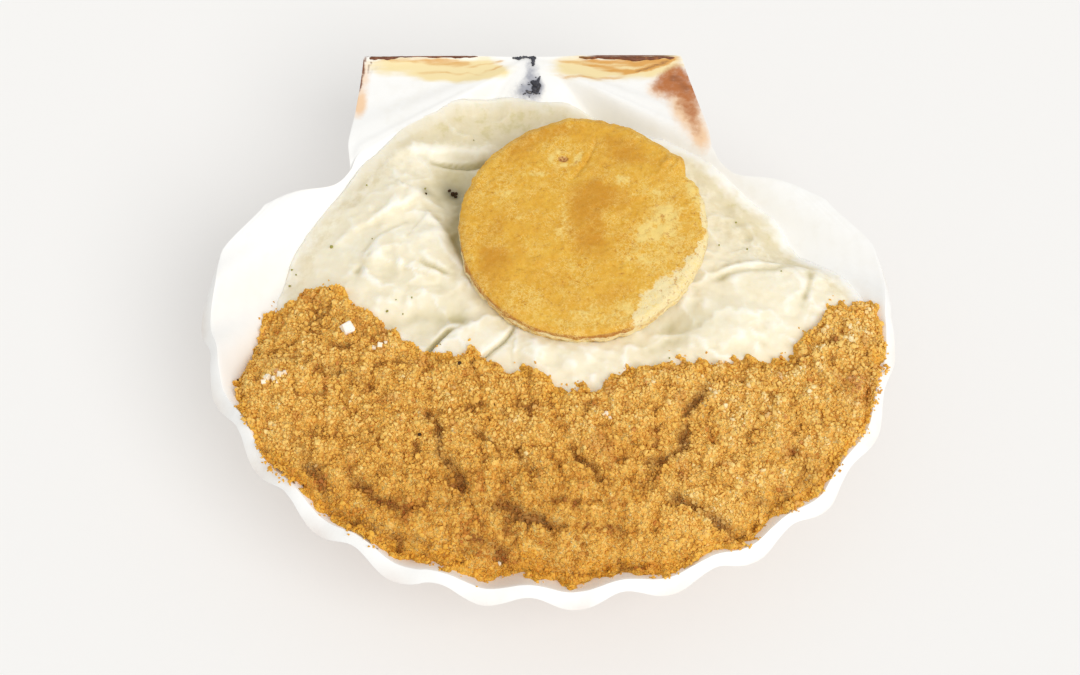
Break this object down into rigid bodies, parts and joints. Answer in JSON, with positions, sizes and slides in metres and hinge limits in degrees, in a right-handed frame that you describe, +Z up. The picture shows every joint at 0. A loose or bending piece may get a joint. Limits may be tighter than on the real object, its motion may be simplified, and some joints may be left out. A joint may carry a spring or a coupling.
{
  "type": "scallop in shell",
  "caption": "Gratinated scallop served in its own ribbed shell: cream sauce, a golden crumb crust and a round of puff pastry, hinge at the back.",
  "frame": {"origin": "middle of the bounding box, at the level of the surface the shell rests on", "axes": "+Z up, +Y towards the straight hinge with its two ears, -Y towards the rounded front edge, +X to the right seen from the front"},
  "size_m": [0.1195, 0.1065, 0.0343],
  "materials": {
    "shell": "chalky white",
    "sauce": "thick cream sauce, softly glossy",
    "crumbs": "browned breadcrumbs",
    "pastry": "baked puff pastry with an egg glaze",
    "ligament": "dried brown ligament",
    "resilium": "dark satin"
  },
  "bodies": {
    "root": {"shell": "shell", "filling": "sauce", "crumb_crust": "crumbs", "pastry_disc": "pastry", "ligament_left": "ligament", "ligament_right": "ligament", "resilium": "resilium"}
  },
  "joints": []
}
